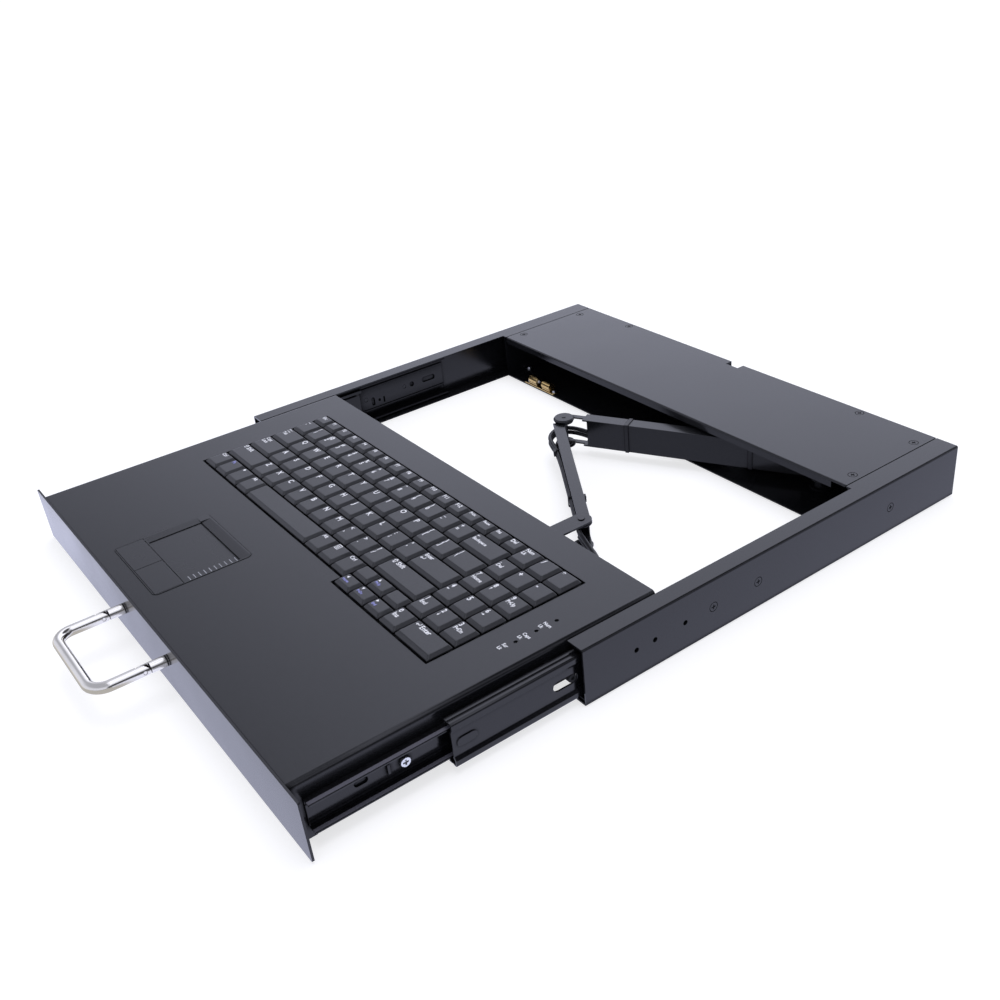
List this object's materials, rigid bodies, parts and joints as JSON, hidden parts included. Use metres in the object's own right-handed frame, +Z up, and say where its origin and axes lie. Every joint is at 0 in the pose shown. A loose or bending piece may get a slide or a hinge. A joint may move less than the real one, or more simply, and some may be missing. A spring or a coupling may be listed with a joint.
{
  "type": "rack keyboard drawer",
  "caption": "Low black steel rack drawer on ball slides with a full keyboard and touch pad, folding front handle, rear box, ball catch and folding cable arm.",
  "frame": {"origin": "middle of the footprint at the bottom of the side channels, drawer out and handle straight out", "axes": "+X to the right as the typist sits, +Y to the rear of the rack, +Z up"},
  "size_m": [0.447, 0.5882, 0.0446],
  "materials": {
    "powder_black": "fine satin powder coat",
    "slide_black": "smooth black coat on rolled steel",
    "cage_steel": "thin pressed strip",
    "screw_black": "black oxide",
    "screw_zinc": "bright zinc",
    "brass": "plain polished brass",
    "ball_steel": "polished ball",
    "chrome": "bright plated rod",
    "key_black": "fine matt",
    "touch_black": "fine matt",
    "pan_black": "moulded",
    "membrane_black": "matt",
    "lamp_dark": "clear dark lens, unlit",
    "pin_black": "black pin",
    "clip_black": "nylon band",
    "cable_black": "smooth jacket"
  },
  "bodies": {
    "frame": {"left_channel": "powder_black", "right_channel": "powder_black", "rear_tray": "powder_black", "rear_cover": "powder_black", "cover_screws": "screw_black", "side_screws": "screw_black", "slide_outer_left": "slide_black", "slide_outer_right": "slide_black", "catch_body": "brass", "arm_post": "powder_black", "cable_box": "cable_black", "cable_socket": "pan_black"},
    "drawer": {"drawer_tray": "powder_black", "front_panel": "powder_black", "slide_inner_left": "slide_black", "slide_inner_right": "slide_black", "slide_screws": "screw_zinc", "keyboard_pan": "pan_black", "key_membrane": "membrane_black", "touch_bezel": "touch_black", "touch_surface": "touch_black", "lamp_set": "lamp_dark", "handle_posts": "chrome", "catch_strike": "powder_black", "arm_strap": "powder_black", "cable_drawer": "cable_black"},
    "handle": {"handle_bow": "chrome"},
    "arm_rear": {"arm_rear_link": "powder_black", "arm_elbow_pin": "pin_black", "arm_clips": "clip_black", "cable_rear": "cable_black"},
    "arm_front": {"arm_front_link": "powder_black", "cable_front": "cable_black", "cable_elbow": "cable_black"},
    "middle_left": {"slide_middle_left": "slide_black"},
    "middle_right": {"slide_middle_right": "slide_black"},
    "outer_balls_left": {"cage_outer_left": "cage_steel"},
    "outer_balls_right": {"cage_outer_right": "cage_steel"},
    "inner_balls_left": {"cage_inner_left": "cage_steel"},
    "inner_balls_right": {"cage_inner_right": "cage_steel"},
    "ball_left": {"catch_ball_left": "ball_steel"},
    "ball_right": {"catch_ball_right": "ball_steel"},
    "button_left": {"touch_button_left": "touch_black"},
    "button_right": {"touch_button_right": "touch_black"},
    "key_space": {"key_space": "key_black"},
    "keys_arrow_front": {"keys_arrow_front": "key_black"},
    "keys_arrow_rear": {"keys_arrow_rear": "key_black"},
    "keys_control": {"keys_control": "key_black"},
    "keys_function": {"keys_function": "key_black"},
    "keys_home": {"keys_home": "key_black"},
    "keys_lower": {"keys_lower": "key_black"},
    "keys_number": {"keys_number": "key_black"},
    "keys_pad_high": {"keys_pad_high": "key_black"},
    "keys_pad_lock": {"keys_pad_lock": "key_black"},
    "keys_pad_low": {"keys_pad_low": "key_black"},
    "keys_pad_mid": {"keys_pad_mid": "key_black"},
    "keys_pad_sign": {"keys_pad_sign": "key_black"},
    "keys_pad_zero": {"keys_pad_zero": "key_black"},
    "keys_upper": {"keys_upper": "key_black"}
  },
  "joints": [
    {"name": "drawer_slide", "type": "slide", "parent": "frame", "child": "drawer", "axis": [0, 1, 0], "range_m": [0, 0.18]},
    {"name": "arm_rear_hinge", "type": "hinge", "parent": "frame", "child": "arm_rear", "pos_m": [0.1495, 0.23353, 0.02], "axis": [0, 0, 1], "range_deg": [-32.28, 0.2]},
    {"name": "arm_elbow_hinge", "type": "hinge", "parent": "arm_rear", "child": "arm_front", "pos_m": [-0.0394, 0.13093, 0.02], "axis": [0, 0, 1], "range_deg": [-0.2, 56.49]},
    {"name": "handle_fold", "type": "hinge", "parent": "drawer", "child": "handle", "pos_m": [0, -0.25888, 0.0266], "axis": [-1, 0, 0], "range_deg": [0, 90]},
    {"name": "middle_left_slide", "type": "slide", "parent": "frame", "child": "middle_left", "axis": [0, 1, 0], "range_m": [-0.0005, 0.0905]},
    {"name": "outer_balls_left_slide", "type": "slide", "parent": "frame", "child": "outer_balls_left", "axis": [0, 1, 0], "range_m": [-0.0005, 0.0455]},
    {"name": "inner_balls_left_slide", "type": "slide", "parent": "frame", "child": "inner_balls_left", "axis": [0, 1, 0], "range_m": [-0.0005, 0.1355]},
    {"name": "ball_left_press", "type": "slide", "parent": "frame", "child": "ball_left", "axis": [-1, 0, 0], "range_m": [0, 0.0012], "stiffness_N_per_m": 800, "springref_m": -0.001},
    {"name": "button_left_press", "type": "slide", "parent": "drawer", "child": "button_left", "axis": [0, 0, -1], "range_m": [0, 0.0007], "stiffness_N_per_m": 500, "springref_m": -0.001},
    {"name": "middle_right_slide", "type": "slide", "parent": "frame", "child": "middle_right", "axis": [0, 1, 0], "range_m": [-0.0005, 0.0905]},
    {"name": "outer_balls_right_slide", "type": "slide", "parent": "frame", "child": "outer_balls_right", "axis": [0, 1, 0], "range_m": [-0.0005, 0.0455]},
    {"name": "inner_balls_right_slide", "type": "slide", "parent": "frame", "child": "inner_balls_right", "axis": [0, 1, 0], "range_m": [-0.0005, 0.1355]},
    {"name": "ball_right_press", "type": "slide", "parent": "frame", "child": "ball_right", "axis": [1, 0, 0], "range_m": [0, 0.0012], "stiffness_N_per_m": 800, "springref_m": -0.001},
    {"name": "button_right_press", "type": "slide", "parent": "drawer", "child": "button_right", "axis": [0, 0, -1], "range_m": [0, 0.0007], "stiffness_N_per_m": 500, "springref_m": -0.001},
    {"name": "key_space_press", "type": "slide", "parent": "drawer", "child": "key_space", "axis": [0, 0, -1], "range_m": [0, 0.002], "stiffness_N_per_m": 600, "springref_m": -0.002},
    {"name": "keys_arrow_front_press", "type": "slide", "parent": "drawer", "child": "keys_arrow_front", "axis": [0, 0, -1], "range_m": [0, 0.002], "stiffness_N_per_m": 600, "springref_m": -0.002},
    {"name": "keys_arrow_rear_press", "type": "slide", "parent": "drawer", "child": "keys_arrow_rear", "axis": [0, 0, -1], "range_m": [0, 0.002], "stiffness_N_per_m": 600, "springref_m": -0.002},
    {"name": "keys_control_press", "type": "slide", "parent": "drawer", "child": "keys_control", "axis": [0, 0, -1], "range_m": [0, 0.002], "stiffness_N_per_m": 600, "springref_m": -0.002},
    {"name": "keys_function_press", "type": "slide", "parent": "drawer", "child": "keys_function", "axis": [0, 0, -1], "range_m": [0, 0.002], "stiffness_N_per_m": 600, "springref_m": -0.002},
    {"name": "keys_home_press", "type": "slide", "parent": "drawer", "child": "keys_home", "axis": [0, 0, -1], "range_m": [0, 0.002], "stiffness_N_per_m": 600, "springref_m": -0.002},
    {"name": "keys_lower_press", "type": "slide", "parent": "drawer", "child": "keys_lower", "axis": [0, 0, -1], "range_m": [0, 0.002], "stiffness_N_per_m": 600, "springref_m": -0.002},
    {"name": "keys_number_press", "type": "slide", "parent": "drawer", "child": "keys_number", "axis": [0, 0, -1], "range_m": [0, 0.002], "stiffness_N_per_m": 600, "springref_m": -0.002},
    {"name": "keys_pad_high_press", "type": "slide", "parent": "drawer", "child": "keys_pad_high", "axis": [0, 0, -1], "range_m": [0, 0.002], "stiffness_N_per_m": 600, "springref_m": -0.002},
    {"name": "keys_pad_lock_press", "type": "slide", "parent": "drawer", "child": "keys_pad_lock", "axis": [0, 0, -1], "range_m": [0, 0.002], "stiffness_N_per_m": 600, "springref_m": -0.002},
    {"name": "keys_pad_low_press", "type": "slide", "parent": "drawer", "child": "keys_pad_low", "axis": [0, 0, -1], "range_m": [0, 0.002], "stiffness_N_per_m": 600, "springref_m": -0.002},
    {"name": "keys_pad_mid_press", "type": "slide", "parent": "drawer", "child": "keys_pad_mid", "axis": [0, 0, -1], "range_m": [0, 0.002], "stiffness_N_per_m": 600, "springref_m": -0.002},
    {"name": "keys_pad_sign_press", "type": "slide", "parent": "drawer", "child": "keys_pad_sign", "axis": [0, 0, -1], "range_m": [0, 0.002], "stiffness_N_per_m": 600, "springref_m": -0.002},
    {"name": "keys_pad_zero_press", "type": "slide", "parent": "drawer", "child": "keys_pad_zero", "axis": [0, 0, -1], "range_m": [0, 0.002], "stiffness_N_per_m": 600, "springref_m": -0.002},
    {"name": "keys_upper_press", "type": "slide", "parent": "drawer", "child": "keys_upper", "axis": [0, 0, -1], "range_m": [0, 0.002], "stiffness_N_per_m": 600, "springref_m": -0.002}
  ],
  "couplings": [
    {"joint": "arm_rear_hinge", "follows": "drawer_slide", "rad_per_m": -3.1109},
    {"joint": "arm_elbow_hinge", "follows": "drawer_slide", "rad_per_m": 5.4579},
    {"joint": "middle_left_slide", "follows": "drawer_slide", "ratio": 0.5},
    {"joint": "outer_balls_left_slide", "follows": "drawer_slide", "ratio": 0.25},
    {"joint": "inner_balls_left_slide", "follows": "drawer_slide", "ratio": 0.75},
    {"joint": "middle_right_slide", "follows": "drawer_slide", "ratio": 0.5},
    {"joint": "outer_balls_right_slide", "follows": "drawer_slide", "ratio": 0.25},
    {"joint": "inner_balls_right_slide", "follows": "drawer_slide", "ratio": 0.75}
  ]
}
